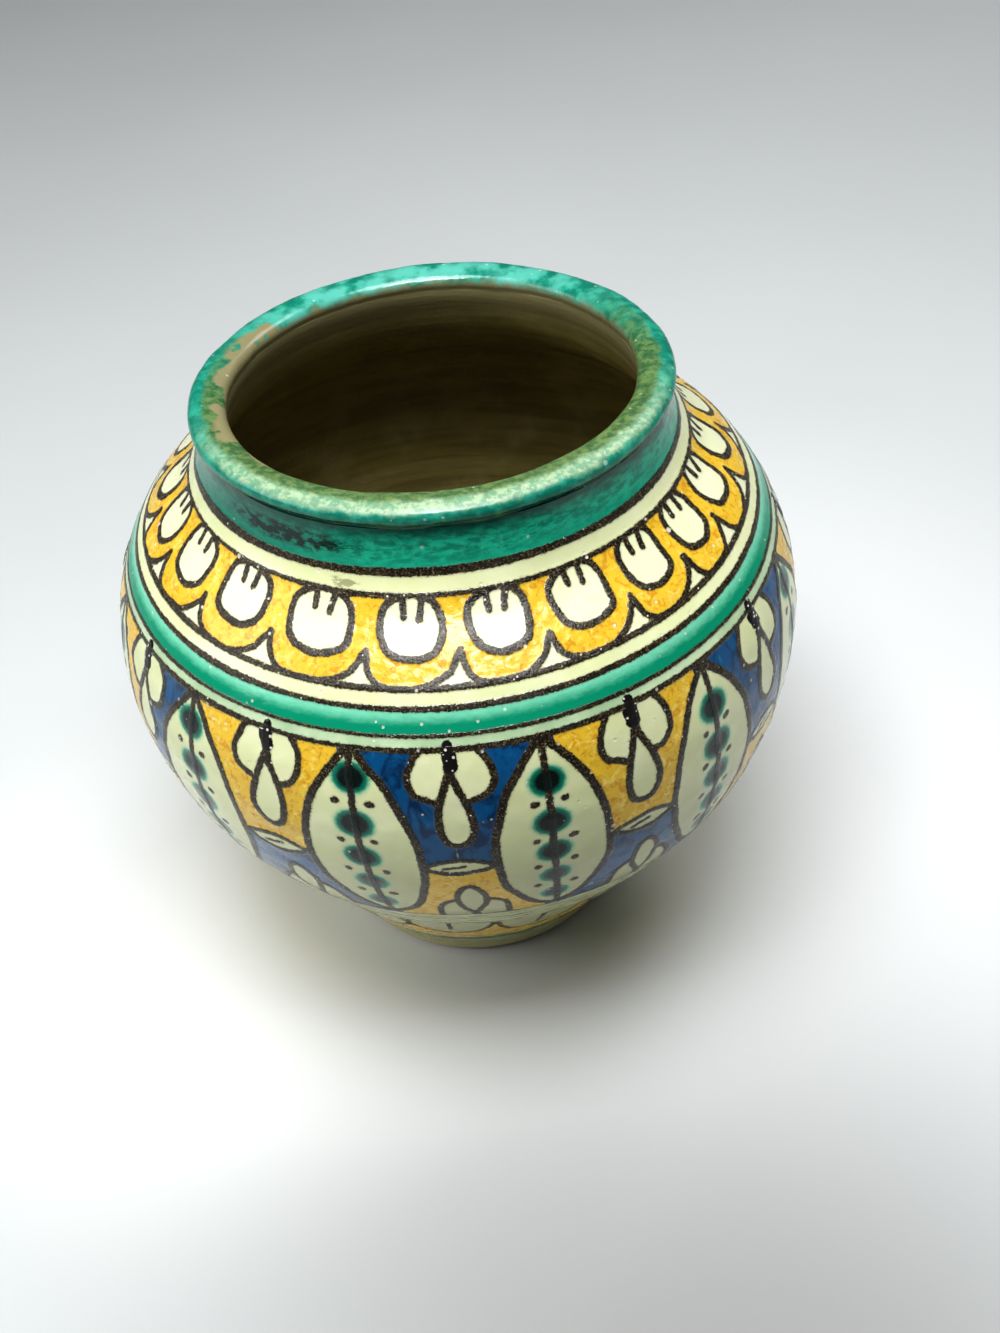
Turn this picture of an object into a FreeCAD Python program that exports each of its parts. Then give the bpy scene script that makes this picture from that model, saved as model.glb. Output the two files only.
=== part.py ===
import FreeCAD, Part
import math
import os

import Sketcher

# A round glazed earthenware vase with a wide mouth and a rolled lip.
# The origin is the centre of the plane the foot rests on, +Z is up, and every length is in millimetres.
# Four solids of revolution give every surface: the glazed outside, the bare clay outside, the glazed
# hollow and the bare clay hollow. Booleans between them leave the clay wall and the coats of glaze, and
# level cuts part those into the pieces the potter and the painter laid on one after another.

doc = FreeCAD.newDocument("vase")


# ---------------------------------------------------------------- driving dimensions

SIZES = {
    # the outside, from the foot up
    "foot_radius": 45.0,
    "foot_bevel": 1.0,
    "foot_waist_height": 3.0,
    "foot_cove_arc": 5.0,
    "recess_radius": 36.0,
    "recess_depth": 5.0,
    "belly_radius": 100.0,
    "belly_height": 112.5,
    "lower_arc": 88.0,
    "shoulder_arc": 62.0,
    "neck_cove_arc": 28.5,
    "neck_height": 184.0,
    "lip_arc": 3.4,
    "lip_height": 186.8,
    "lip_outer_centre": 63.2,
    "lip_inner_centre": 59.6,
    # the inside
    "wall": 7.0,
    "glaze": 0.7,
    "floor_height": 15.0,
    "floor_radius": 34.0,
    "floor_corner_arc": 22.0,
    "open_top_height": 200.0,
    # where one clay piece meets the next
    "table_height": 0.0,
    "foot_joint_height": 8.0,
    "collar_joint_height": 173.5,
    "lip_joint_height": 184.2,
    # where one coat of glaze meets the next, from the top down
    "liner_top_height": 185.0,
    "crevice_height": 183.9,
    "neck_base_height": 173.5,
    "collar_line_height": 167.9,
    "scallop_base_height": 151.8,
    "cream_base_height": 147.5,
    "green_base_height": 141.6,
    "mint_base_height": 138.0,
    "belly_base_height": 66.0,
    "bundle_base_height": 46.0,
    "petal_base_height": 19.0,
    "bare_foot_height": 2.0,
}

sheet = doc.addObject("Spreadsheet::Sheet", "Sizes")
for row, (name, value) in enumerate(SIZES.items(), start=1):
    sheet.set(f"A{row}", name)
    sheet.set(f"B{row}", str(value))
    sheet.setAlias(f"B{row}", name)
doc.recompute()


# ---------------------------------------------------------------- sketch helpers

START, END, CENTRE = 1, 2, 3
ORIGIN, ACROSS, UP = -1, -1, -2


def point(across, up):
    return FreeCAD.Vector(across, up, 0)


def arc(centre, radius, start_degrees, end_degrees):
    """An arc drawn anticlockwise from one angle to the other."""
    circle = Part.Circle(centre, FreeCAD.Vector(0, 0, 1), radius)
    return Part.ArcOfCircle(circle, math.radians(start_degrees), math.radians(end_degrees))


class Outline:
    """A closed half-section on a body's XZ plane, sized by the sheet and turned about the vertical axis."""

    def __init__(self, name):
        self.body = doc.addObject("PartDesign::Body", name)
        self.sketch = self.body.newObject("Sketcher::SketchObject", name + "_outline")
        plane = next(f for f in self.body.Origin.OriginFeatures if f.Role == "XZ_Plane")
        self.sketch.AttachmentSupport = (plane, "")
        self.sketch.MapMode = "FlatFace"

    def draw(self, shapes):
        return [self.sketch.addGeometry(shape, False) for shape in shapes]

    def join(self, first, first_end, second, second_end):
        self.sketch.addConstraint(Sketcher.Constraint("Coincident", first, first_end, second, second_end))

    def blend(self, first, first_end, second, second_end):
        """Joins two ends so that the outline runs on smoothly through them."""
        self.sketch.addConstraint(Sketcher.Constraint("Tangent", first, first_end, second, second_end))

    def level(self, *lines):
        for line in lines:
            self.sketch.addConstraint(Sketcher.Constraint("Horizontal", line))

    def upright(self, *lines):
        for line in lines:
            self.sketch.addConstraint(Sketcher.Constraint("Vertical", line))

    def lie_on(self, shape, end, axis):
        self.sketch.addConstraint(Sketcher.Constraint("PointOnObject", shape, end, axis))

    def above_centre(self, shape, end):
        self.sketch.addConstraint(Sketcher.Constraint("Vertical", shape, end, shape, CENTRE))

    def bind(self, kind, arguments, expression):
        """Adds a dimension and binds it to an expression in the sheet's cells."""
        start_value = self.measure(kind, arguments)
        index = self.sketch.addConstraint(Sketcher.Constraint(kind, *arguments, start_value))
        self.sketch.setExpression(f"Constraints[{index}]", expression)

    def measure(self, kind, arguments):
        if kind == "Radius":
            return self.sketch.Geometry[arguments[0]].Radius
        place = self.sketch.getPoint(arguments[-2], arguments[-1])
        return place.x if kind == "DistanceX" else place.y

    def radius(self, shape, expression):
        self.bind("Radius", (shape,), expression)

    def across(self, shape, end, expression):
        self.bind("DistanceX", (ORIGIN, START, shape, end), expression)

    def up(self, shape, end, expression):
        self.bind("DistanceY", (ORIGIN, START, shape, end), expression)

    def turn(self):
        solid = self.body.newObject("PartDesign::Revolution", self.body.Name + "_turned")
        solid.Profile = self.sketch
        solid.ReferenceAxis = (self.sketch, ["V_Axis"])
        solid.Angle = 360
        self.sketch.Visibility = False
        doc.recompute()
        return self.body


def size(name):
    return float(sheet.get(name))


# Where the drawn arcs meet, to start each sketch near its solved shape.

def taper_degrees(foot_cove_across):
    """The angle from upright of the straight flank between the lower arc and the foot's cove."""
    across = foot_cove_across - (size("belly_radius") - size("lower_arc"))
    down = size("belly_height") - size("foot_waist_height")
    reach = size("lower_arc") + size("foot_cove_arc")
    return math.degrees(math.asin(reach / math.hypot(across, down)) - math.atan2(across, down))


def shoulder_degrees():
    """The angle above level at which the shoulder's arc hands over to the neck's cove."""
    rise = size("neck_height") - size("belly_height")
    return math.degrees(math.asin(rise / (size("shoulder_arc") + size("neck_cove_arc"))))


def neck_centre():
    reach = size("shoulder_arc") + size("neck_cove_arc")
    across = size("belly_radius") - size("shoulder_arc") + reach * math.cos(math.radians(shoulder_degrees()))
    return point(across, size("neck_height"))


# ---------------------------------------------------------------- the outside of the vase

def outside_form(name, coat):
    """The outside filled to its axis. coat is the expression for how far it lies inside the glazed surface."""
    form = Outline(name)
    foot = size("foot_radius")
    waist = size("foot_waist_height")
    foot_centre = point(foot + size("foot_cove_arc"), waist)
    lower_centre = point(size("belly_radius") - size("lower_arc"), size("belly_height"))
    shoulder_centre = point(size("belly_radius") - size("shoulder_arc"), size("belly_height"))
    lip_centre = point(size("lip_outer_centre"), size("lip_height"))
    rim_top = size("lip_height") + size("lip_arc")
    taper = taper_degrees(foot_centre.x)
    slope = point(math.cos(math.radians(taper)), -math.sin(math.radians(taper)))
    (recess_top, recess_side, contact, bevel, foot_side, foot_cove, flank,
     lower, shoulder, neck, lip, rim, axis) = form.draw([
        Part.LineSegment(point(0, size("recess_depth")), point(size("recess_radius"), size("recess_depth"))),
        Part.LineSegment(point(size("recess_radius"), size("recess_depth")), point(size("recess_radius"), 0)),
        Part.LineSegment(point(size("recess_radius"), 0), point(foot - size("foot_bevel"), 0)),
        Part.LineSegment(point(foot - size("foot_bevel"), 0), point(foot, size("foot_bevel"))),
        Part.LineSegment(point(foot, size("foot_bevel")), point(foot, waist)),
        arc(foot_centre, size("foot_cove_arc"), 180 - taper, 180),
        Part.LineSegment(foot_centre - slope * size("foot_cove_arc"), lower_centre + slope * size("lower_arc")),
        arc(lower_centre, size("lower_arc"), -taper, 0),
        arc(shoulder_centre, size("shoulder_arc"), 0, shoulder_degrees()),
        arc(neck_centre(), size("neck_cove_arc"), 175, 180 + shoulder_degrees()),
        arc(lip_centre, size("lip_arc"), -55, 90),
        Part.LineSegment(point(lip_centre.x, rim_top), point(0, rim_top)),
        Part.LineSegment(point(0, rim_top), point(0, size("recess_depth"))),
    ])
    form.join(recess_top, END, recess_side, START)
    form.join(recess_side, END, contact, START)
    form.join(contact, END, bevel, START)
    form.join(bevel, END, foot_side, START)
    form.join(foot_side, END, foot_cove, END)
    form.blend(foot_cove, START, flank, START)
    form.blend(flank, END, lower, START)
    form.join(lower, END, shoulder, START)
    form.blend(shoulder, END, neck, END)
    form.join(neck, START, lip, START)
    form.join(lip, END, rim, START)
    form.join(rim, END, axis, START)
    form.join(axis, END, recess_top, START)
    form.level(recess_top, contact, rim)
    form.upright(recess_side, foot_side, axis)
    form.lie_on(axis, START, UP)
    form.lie_on(contact, START, ACROSS)
    form.above_centre(lip, END)
    form.across(recess_side, START, "Sizes.recess_radius")
    form.up(recess_top, END, "Sizes.recess_depth")
    form.across(contact, END, f"Sizes.foot_radius - Sizes.foot_bevel - {coat}")
    form.across(foot_side, START, f"Sizes.foot_radius - {coat}")
    form.up(foot_side, START, "Sizes.foot_bevel")
    form.up(foot_side, END, "Sizes.foot_waist_height")
    form.radius(foot_cove, f"Sizes.foot_cove_arc + {coat}")
    form.up(foot_cove, CENTRE, "Sizes.foot_waist_height")
    form.radius(lower, f"Sizes.lower_arc - {coat}")
    form.up(lower, CENTRE, "Sizes.belly_height")
    form.across(lower, END, f"Sizes.belly_radius - {coat}")
    form.up(lower, END, "Sizes.belly_height")
    form.radius(shoulder, f"Sizes.shoulder_arc - {coat}")
    form.up(shoulder, CENTRE, "Sizes.belly_height")
    form.radius(neck, f"Sizes.neck_cove_arc + {coat}")
    form.up(neck, CENTRE, "Sizes.neck_height")
    form.radius(lip, f"Sizes.lip_arc - {coat}")
    form.across(lip, CENTRE, "Sizes.lip_outer_centre")
    form.up(lip, CENTRE, "Sizes.lip_height")
    return form.turn()


# ---------------------------------------------------------------- the hollow of the vase

def hollow_form(name, coat):
    """The vase's hollow, open at the top. coat is the expression for how far it is cut back behind the glaze."""
    form = Outline(name)
    wall = size("wall")
    floor = size("floor_height")
    corner_centre = point(size("floor_radius"), floor + size("floor_corner_arc"))
    lower_centre = point(size("belly_radius") - size("lower_arc"), size("belly_height"))
    shoulder_centre = point(size("belly_radius") - size("shoulder_arc"), size("belly_height"))
    lip_centre = point(size("lip_inner_centre"), size("lip_height"))
    rim_top = size("lip_height") + size("lip_arc")
    open_top = size("open_top_height")
    taper = taper_degrees(size("foot_radius") + size("foot_cove_arc"))
    slope = point(math.cos(math.radians(taper)), -math.sin(math.radians(taper)))
    lower_radius = size("lower_arc") - wall
    (bottom, corner, flank, lower, shoulder, neck, lip, mouth, cover, axis) = form.draw([
        Part.LineSegment(point(0, floor), point(corner_centre.x, floor)),
        arc(corner_centre, size("floor_corner_arc"), 270, 360 - taper),
        Part.LineSegment(corner_centre + slope * size("floor_corner_arc"), lower_centre + slope * lower_radius),
        arc(lower_centre, lower_radius, -taper, 0),
        arc(shoulder_centre, size("shoulder_arc") - wall, 0, shoulder_degrees()),
        arc(neck_centre(), size("neck_cove_arc") + wall, 175, 180 + shoulder_degrees()),
        arc(lip_centre, size("lip_arc"), 90, 215),
        Part.LineSegment(point(lip_centre.x, rim_top), point(lip_centre.x, open_top)),
        Part.LineSegment(point(lip_centre.x, open_top), point(0, open_top)),
        Part.LineSegment(point(0, open_top), point(0, floor)),
    ])
    form.blend(bottom, END, corner, START)
    form.blend(corner, END, flank, START)
    form.blend(flank, END, lower, START)
    form.join(lower, END, shoulder, START)
    form.blend(shoulder, END, neck, END)
    form.join(neck, START, lip, END)
    form.join(lip, START, mouth, START)
    form.join(mouth, END, cover, START)
    form.join(cover, END, axis, START)
    form.join(axis, END, bottom, START)
    form.level(bottom, cover)
    form.upright(mouth, axis)
    form.lie_on(axis, START, UP)
    form.above_centre(lip, START)
    form.up(bottom, END, f"Sizes.floor_height - {coat}")
    form.radius(corner, f"Sizes.floor_corner_arc + {coat}")
    form.across(corner, CENTRE, "Sizes.floor_radius")
    form.radius(lower, f"Sizes.lower_arc - Sizes.wall + {coat}")
    form.up(lower, CENTRE, "Sizes.belly_height")
    form.across(lower, END, f"Sizes.belly_radius - Sizes.wall + {coat}")
    form.up(lower, END, "Sizes.belly_height")
    form.radius(shoulder, f"Sizes.shoulder_arc - Sizes.wall + {coat}")
    form.up(shoulder, CENTRE, "Sizes.belly_height")
    form.radius(neck, f"Sizes.neck_cove_arc + Sizes.wall - {coat}")
    form.up(neck, CENTRE, "Sizes.neck_height")
    form.radius(lip, f"Sizes.lip_arc - {coat}")
    form.across(lip, CENTRE, "Sizes.lip_inner_centre")
    form.up(lip, CENTRE, "Sizes.lip_height")
    form.up(mouth, END, "Sizes.open_top_height")
    return form.turn()


# ---------------------------------------------------------------- booleans

def cut(name, base, tool):
    result = doc.addObject("Part::Cut", name)
    result.Base = base
    result.Tool = tool
    return result


def common(name, base, tool):
    result = doc.addObject("Part::Common", name)
    result.Base = base
    result.Tool = tool
    return result


def slab(name, low, high):
    """A level disc wider than the vase, between two heights in the sheet."""
    disc = doc.addObject("Part::Cylinder", name)
    disc.setExpression("Radius", "Sizes.belly_radius * 1.2")
    disc.setExpression("Height", f"Sizes.{high} - Sizes.{low}")
    disc.setExpression("Placement.Base.z", f"Sizes.{low}")
    return disc


def layer(name, solid, low, high):
    """The part of a solid of revolution that lies between two heights."""
    return common(name, solid, slab(name + "_band", low, high))


glazed_outside = outside_form("glazed_outside", "0")
clay_outside = outside_form("clay_outside", "Sizes.glaze")
glazed_hollow = hollow_form("glazed_hollow", "0")
clay_hollow = hollow_form("clay_hollow", "Sizes.glaze")

clay_wall = cut("clay_wall", clay_outside, clay_hollow)
outer_coat = cut("outer_coat", cut("outer_coat_filled", glazed_outside, clay_outside), clay_hollow)
inner_coat = cut("inner_coat", clay_hollow, glazed_hollow)


# ---------------------------------------------------------------- clay pieces

def foot_ring():
    """The turned ring under the pot: everything outside the recess and below the foot joint."""
    core = slab("foot_core", "table_height", "foot_joint_height")
    core.setExpression("Radius", "Sizes.recess_radius")
    band = slab("foot_band", "table_height", "foot_joint_height")
    return common("foot_ring", clay_wall, cut("foot_zone", band, core))


def thrown_body(ring):
    """The thrown pot from its floor to the root of the neck, seated in the foot ring."""
    below_neck = layer("body_with_foot", clay_wall, "table_height", "collar_joint_height")
    return cut("thrown_body", below_neck, ring)


ring_piece = foot_ring()
clay_pieces = [
    ring_piece,
    thrown_body(ring_piece),
    layer("neck_collar", clay_wall, "collar_joint_height", "lip_joint_height"),
    layer("rolled_lip", clay_wall, "lip_joint_height", "open_top_height"),
]


# ---------------------------------------------------------------- coats of glaze

def lip_glaze():
    """Copper green over the whole roll of the lip, from the crevice outside to the liner inside."""
    piece = doc.addObject("Part::Fuse", "lip_glaze")
    piece.Base = layer("lip_glaze_outside", outer_coat, "crevice_height", "open_top_height")
    piece.Tool = layer("lip_glaze_inside", inner_coat, "liner_top_height", "open_top_height")
    return piece


COATS = [
    ("neck_glaze", "neck_base_height", "crevice_height"),
    ("collar_stripe_glaze", "collar_line_height", "neck_base_height"),
    ("scallop_band_glaze", "scallop_base_height", "collar_line_height"),
    ("cream_stripe_glaze", "cream_base_height", "scallop_base_height"),
    ("green_band_glaze", "green_base_height", "cream_base_height"),
    ("mint_stripe_glaze", "mint_base_height", "green_base_height"),
    ("belly_panel_glaze", "belly_base_height", "mint_base_height"),
    ("line_bundle_glaze", "bundle_base_height", "belly_base_height"),
    ("petal_band_glaze", "petal_base_height", "bundle_base_height"),
    ("foot_glaze", "bare_foot_height", "petal_base_height"),
]

glaze_pieces = [lip_glaze()]
glaze_pieces += [layer(label, outer_coat, low, high) for label, low, high in COATS]
glaze_pieces.append(layer("inner_glaze", inner_coat, "table_height", "liner_top_height"))

pieces = clay_pieces + glaze_pieces
for piece in pieces:
    piece.Label = piece.Name
    piece.Placement = FreeCAD.Placement()
doc.recompute()


# ---------------------------------------------------------------- check and write

for item in doc.Objects:
    bad = {"Invalid", "Error"} & set(item.State)
    if bad:
        raise RuntimeError(f"{item.Label} is {bad}")
for piece in pieces:
    if piece.Shape.isNull() or not piece.Shape.isValid() or not piece.Shape.Solids:
        raise RuntimeError(f"{piece.Label} has no valid solid")

os.makedirs("parts", exist_ok=True)
for piece in pieces:
    piece.Shape.exportStep(f"parts/{piece.Label}.step")
    box = piece.Shape.optimalBoundingBox()
    print(f"{piece.Label}: {len(piece.Shape.Solids)} solid, {piece.Shape.Volume / 1000:.2f} cm3, "
          f"r {box.XMax:.2f}, z {box.ZMin:.2f} to {box.ZMax:.2f}")
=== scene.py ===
import math

import bmesh
import bpy
import numpy as np
from mathutils import Euler, Matrix, Vector


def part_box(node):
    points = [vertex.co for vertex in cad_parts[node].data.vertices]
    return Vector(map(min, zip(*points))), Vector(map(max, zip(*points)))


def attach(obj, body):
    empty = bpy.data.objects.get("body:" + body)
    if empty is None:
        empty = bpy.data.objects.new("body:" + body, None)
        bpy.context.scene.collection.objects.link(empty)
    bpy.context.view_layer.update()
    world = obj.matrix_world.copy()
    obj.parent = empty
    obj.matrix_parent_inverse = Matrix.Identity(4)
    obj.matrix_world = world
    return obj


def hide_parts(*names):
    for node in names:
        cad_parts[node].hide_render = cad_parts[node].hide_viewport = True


# A round glazed vase: its looks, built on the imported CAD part.
# Shapes are worked out in millimetres and written to the meshes in metres. Azimuth is in degrees round
# the vase: 0 is the front (-Y) and it grows towards +X. Every surface is turned about +Z, most carry real
# relief, and all are then pushed slightly out of true the way a hand-thrown pot is.

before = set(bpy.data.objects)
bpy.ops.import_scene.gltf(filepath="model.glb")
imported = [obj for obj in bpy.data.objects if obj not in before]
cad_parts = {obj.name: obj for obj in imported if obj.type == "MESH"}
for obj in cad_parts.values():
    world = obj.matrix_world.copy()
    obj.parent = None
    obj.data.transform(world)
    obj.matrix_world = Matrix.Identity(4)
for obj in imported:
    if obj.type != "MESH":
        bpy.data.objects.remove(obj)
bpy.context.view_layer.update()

MM = 0.001
COLUMNS = 960
FAR = 9.0
TINY = 1e-6
SHARP_TURN = 50.0
# How far apart points lie along the faces that a coat hides, in millimetres.
BACK_SPACING = 4.0
CLAY_SPACING = 3.0
QUICK_STEP = 1


# ---------- the CAD part's arcs, in millimetres

BELLY_HEIGHT = 112.5
LOWER_ARC = 88.0
SHOULDER_ARC = 62.0
COVE_ARC = 28.5
NECK_HEIGHT = 184.0
FOOT_BEVEL = 1.0
FOOT_COVE_HEIGHT = 3.0
FOOT_COVE_ARC = 5.0
RECESS_RADIUS = 36.0
RECESS_DEPTH = 5.0
WALL = 7.0
GLAZE = 0.7
FLOOR_HEIGHT = 15.0
FLOOR_RADIUS = 34.0
FLOOR_CORNER_ARC = 22.0
LIP_HEIGHT = 186.8
LIP_HALF_HEIGHT = 3.4
LIP_HALF_WIDTH = 5.2
LIP_SQUARENESS = 2.3
FOOT_RADIUS = 45.0
THROAT_START = 175.0
THROAT_END = NECK_HEIGHT + 1.0
THROAT_NARROWING = 1.4


def span(node):
    """The lowest and highest point of a CAD node, in millimetres."""
    low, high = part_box(node)
    return low.z / MM, high.z / MM


BELLY_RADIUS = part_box("belly_panel_glaze")[1].x / MM
LIP_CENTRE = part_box("lip_glaze")[1].x / MM - LIP_HALF_WIDTH


def taper_degrees():
    """The angle from upright of the straight flank between the belly and the foot."""
    across = FOOT_RADIUS + FOOT_COVE_ARC - (BELLY_RADIUS - LOWER_ARC)
    down = BELLY_HEIGHT - FOOT_COVE_HEIGHT
    reach = LOWER_ARC + FOOT_COVE_ARC
    return math.degrees(math.asin(reach / math.hypot(across, down)) - math.atan2(across, down))


def shoulder_degrees():
    """The angle above level at which the shoulder turns into the neck."""
    return math.degrees(math.asin((NECK_HEIGHT - BELLY_HEIGHT) / (SHOULDER_ARC + COVE_ARC)))


TAPER = taper_degrees()
SHOULDER = shoulder_degrees()
LOWER_CENTRE = (BELLY_RADIUS - LOWER_ARC, BELLY_HEIGHT)
SHOULDER_CENTRE = (BELLY_RADIUS - SHOULDER_ARC, BELLY_HEIGHT)
COVE_ACROSS = SHOULDER_CENTRE[0] + (SHOULDER_ARC + COVE_ARC) * math.cos(math.radians(SHOULDER))
COVE_CENTRE = (COVE_ACROSS, NECK_HEIGHT)


def arc(centre, radius, start, end, step=0.4):
    """Points (radius, height) along an arc between two angles in degrees."""
    count = max(3, int(abs(math.radians(end - start)) * radius / step))
    turn = np.radians(np.linspace(start, end, count))
    return np.column_stack([centre[0] + radius * np.cos(turn), centre[1] + radius * np.sin(turn)])


def outside_path(inset=0.0):
    """The outside from the foot up to the crevice under the lip, set in by some millimetres."""
    foot = FOOT_RADIUS - inset
    return np.vstack([
        [(foot - FOOT_BEVEL, 0.0), (foot, FOOT_BEVEL)],
        arc((FOOT_RADIUS + FOOT_COVE_ARC, FOOT_COVE_HEIGHT), FOOT_COVE_ARC + inset, 180, 180 - TAPER),
        arc(LOWER_CENTRE, LOWER_ARC - inset, -TAPER, 0),
        arc(SHOULDER_CENTRE, SHOULDER_ARC - inset, 0, SHOULDER)[1:],
        arc(COVE_CENTRE, COVE_ARC + inset, 180 + SHOULDER, 180)[1:],
    ])


def eased(part):
    """A smooth start and stop for a value that runs from 0 to 1."""
    return part * part * (3 - 2 * part)


def smoothstep(low, high, value):
    """0 at low and beyond it, 1 at high and beyond it, with a smooth rise between them."""
    return eased(np.clip((value - low) / (high - low), 0, 1))


def throat(path):
    """The same hollow, drawn in softly towards the lip."""
    narrowing = THROAT_NARROWING * smoothstep(THROAT_START, THROAT_END, path[:, 1])
    return path - np.column_stack([narrowing, np.zeros(len(path))])


def hollow_path(inset=0.0):
    """The hollow from the middle of the floor up to the lip, cut back by some millimetres."""
    corner_centre = (FLOOR_RADIUS, FLOOR_HEIGHT + FLOOR_CORNER_ARC)
    top = 180 - math.degrees(math.asin((THROAT_END - NECK_HEIGHT) / (COVE_ARC + WALL)))
    return np.vstack([
        [(0.0, FLOOR_HEIGHT - inset)],
        arc(corner_centre, FLOOR_CORNER_ARC + inset, 270, 360 - TAPER),
        arc(LOWER_CENTRE, LOWER_ARC - WALL + inset, -TAPER, 0),
        arc(SHOULDER_CENTRE, SHOULDER_ARC - WALL + inset, 0, SHOULDER)[1:],
        arc(COVE_CENTRE, COVE_ARC + WALL - inset, 180 + SHOULDER, top)[1:],
    ])


def soft_bend(start, end, part):
    """A path (radius, height) from start to end that leaves and arrives upright."""
    radius = start[0] + (end[0] - start[0]) * eased(part)
    return np.column_stack([radius, start[1] + (end[1] - start[1]) * part])


def lip_path(inset, low_outside, low_inside):
    """
    Out of the neck, over the rolled lip and down into the hollow. The roll's section is rounded and
    slightly squared, and soft bends lead into it and out of it.
    """
    neck = outside_path(inset)
    hollow = throat(hollow_path(inset))
    half_width = LIP_HALF_WIDTH - inset
    turn = np.radians(np.linspace(0, 180, 361))
    power = 2 / LIP_SQUARENESS
    wide = np.sign(np.cos(turn)) * np.abs(np.cos(turn)) ** power * half_width
    tall = np.sign(np.sin(turn)) * np.abs(np.sin(turn)) ** power * (LIP_HALF_HEIGHT - inset)
    neck_end = (np.interp(low_outside, neck[:, 1], neck[:, 0]), low_outside)
    hollow_end = (np.interp(low_inside, hollow[:, 1], hollow[:, 0]), low_inside)
    return np.vstack([
        soft_bend(neck_end, (LIP_CENTRE + half_width, LIP_HEIGHT), np.linspace(0, 1, 24, endpoint=False)),
        np.column_stack([LIP_CENTRE + wide, LIP_HEIGHT + tall]),
        soft_bend((LIP_CENTRE - half_width, LIP_HEIGHT), hollow_end, np.linspace(0, 1, 24)[1:]),
    ])


def run_along(path):
    """How far along a path each of its points lies."""
    return np.append(0, np.cumsum(np.hypot(*np.diff(path, axis=0).T)))


def resample(path, spacing):
    """The same path with evenly spaced points."""
    run = run_along(path)
    places = np.linspace(0, run[-1], max(2, int(round(run[-1] / spacing)) + 1))
    return np.column_stack([np.interp(places, run, path[:, 0]), np.interp(places, run, path[:, 1])])


def between(path, low, high, spacing):
    """The stretch of a rising path between two heights, evenly spaced."""
    heights = path[:, 1]
    inner = path[(heights > low + TINY) & (heights < high - TINY)]
    ends = [(np.interp(z, heights, path[:, 0]), z) for z in (low, high)]
    return resample(np.vstack([ends[0], inner, ends[1]]), spacing)


OUTSIDE = outside_path()
OUTSIDE_RUN = run_along(OUTSIDE)


def along(height):
    """How far up the outside surface a height lies, in millimetres measured along the surface."""
    return np.interp(height, OUTSIDE[:, 1], OUTSIDE_RUN)


# ---------- noise and the thrown shape

HASH_PRIMES = (374761393, 668265263, 1440662683, 974634777)
HASH_STIR = 1274126177
WORD = 0xFFFFFFFF


def lattice(*corner_and_seed):
    """A repeatable value between -1 and 1 for every corner of a cubic lattice, from whole numbers."""
    mixed = sum(number * prime for number, prime in zip(corner_and_seed, HASH_PRIMES)) & WORD
    mixed = ((mixed ^ (mixed >> 13)) * HASH_STIR) & WORD
    return ((mixed ^ (mixed >> 16)) & 0xFFFFFF) / 0x7FFFFF - 1.0


def grain(points, size, seed):
    """Smooth noise between -1 and 1 at points (..., 3), with features of about the given size."""
    scaled = points / np.asarray(size, float)
    cell = np.floor(scaled).astype(np.int64)
    part = eased(scaled - cell)
    total = 0.0
    for corner in range(8):
        step = np.array([corner & 1, corner >> 1 & 1, corner >> 2 & 1])
        weight = np.prod(np.where(step, part, 1 - part), axis=-1)
        total = total + weight * lattice(*np.moveaxis(cell + step, -1, 0), seed)
    return total


# How far the axis lies to the right at a few heights.
DRIFT_HEIGHTS = (0.0, 12.0, 50.0, 112.0, 167.0, 190.0)
DRIFT = (-2.0, -2.0, 1.6, 0.0, -0.6, -0.6)
RIM_TILT = 2.5
RIM_TILT_START = 160.0
RIM_TILT_END = 185.0


def out_of_true(points):
    """The whole pot's hand-thrown shape: its axis drifts sideways and its rim is tilted to the front."""
    x, y, z = np.moveaxis(points, -1, 0)
    frontness = -y / np.maximum(np.hypot(x, y), 1.0)
    tilt = RIM_TILT * frontness * np.clip((z - RIM_TILT_START) / (RIM_TILT_END - RIM_TILT_START), 0, 1)
    return np.stack([x + np.interp(z, DRIFT_HEIGHTS, DRIFT), y, z + tilt], axis=-1)


ALL_COLUMNS = np.arange(COLUMNS)


def column_azimuths(columns):
    """The azimuth of each column of vertices, starting at the back."""
    return columns * 360.0 / COLUMNS - 180.0


def spin(path, columns):
    """Every point of a path (radius, height) at every column's azimuth: an array (rows, columns, 3)."""
    azimuth = np.radians(column_azimuths(columns))
    radius, height = path[:, :1], path[:, 1:]
    tall = np.broadcast_to(height, (len(path), len(columns)))
    return np.stack([radius * np.sin(azimuth), -radius * np.cos(azimuth), tall], axis=-1)


def normals(path, columns):
    """The outward direction at each point of a rising outside path, at every column."""
    tangent = np.gradient(path, axis=0)
    tangent /= np.hypot(tangent[:, 0], tangent[:, 1])[:, None]
    return spin(tangent[:, ::-1] * [1, -1], columns)


# ---------- painting on a flat chart

# What the brush lays down is held as a distance in millimetres to its edge, and a smudge as a strength.
BRUSH_LAYERS = ("ink", "blue", "ochre", "green", "bud")
# Every stroke's small differences are drawn from here, in a fixed order.
hand = np.random.default_rng(31)


def smooth_curve(points, closed, steps=6):
    """A Catmull-Rom curve through the points."""
    points = np.asarray(points, float)
    if closed:
        ring = np.vstack([points[-1], points, points[:2]])
    else:
        ring = np.vstack([2 * points[0] - points[1], points, 2 * points[-1] - points[-2]])
    t = np.linspace(0, 1, steps, endpoint=False)[:, None]
    spans = []
    for a, b, c, d in zip(ring[:-3], ring[1:-2], ring[2:-1], ring[3:]):
        spans.append(b + 0.5 * t * (c - a + t * (2 * a - 5 * b + 4 * c - d + t * (3 * (b - c) + d - a))))
    if not closed:
        spans.append(points[-1:])
    return np.vstack(spans)


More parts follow.
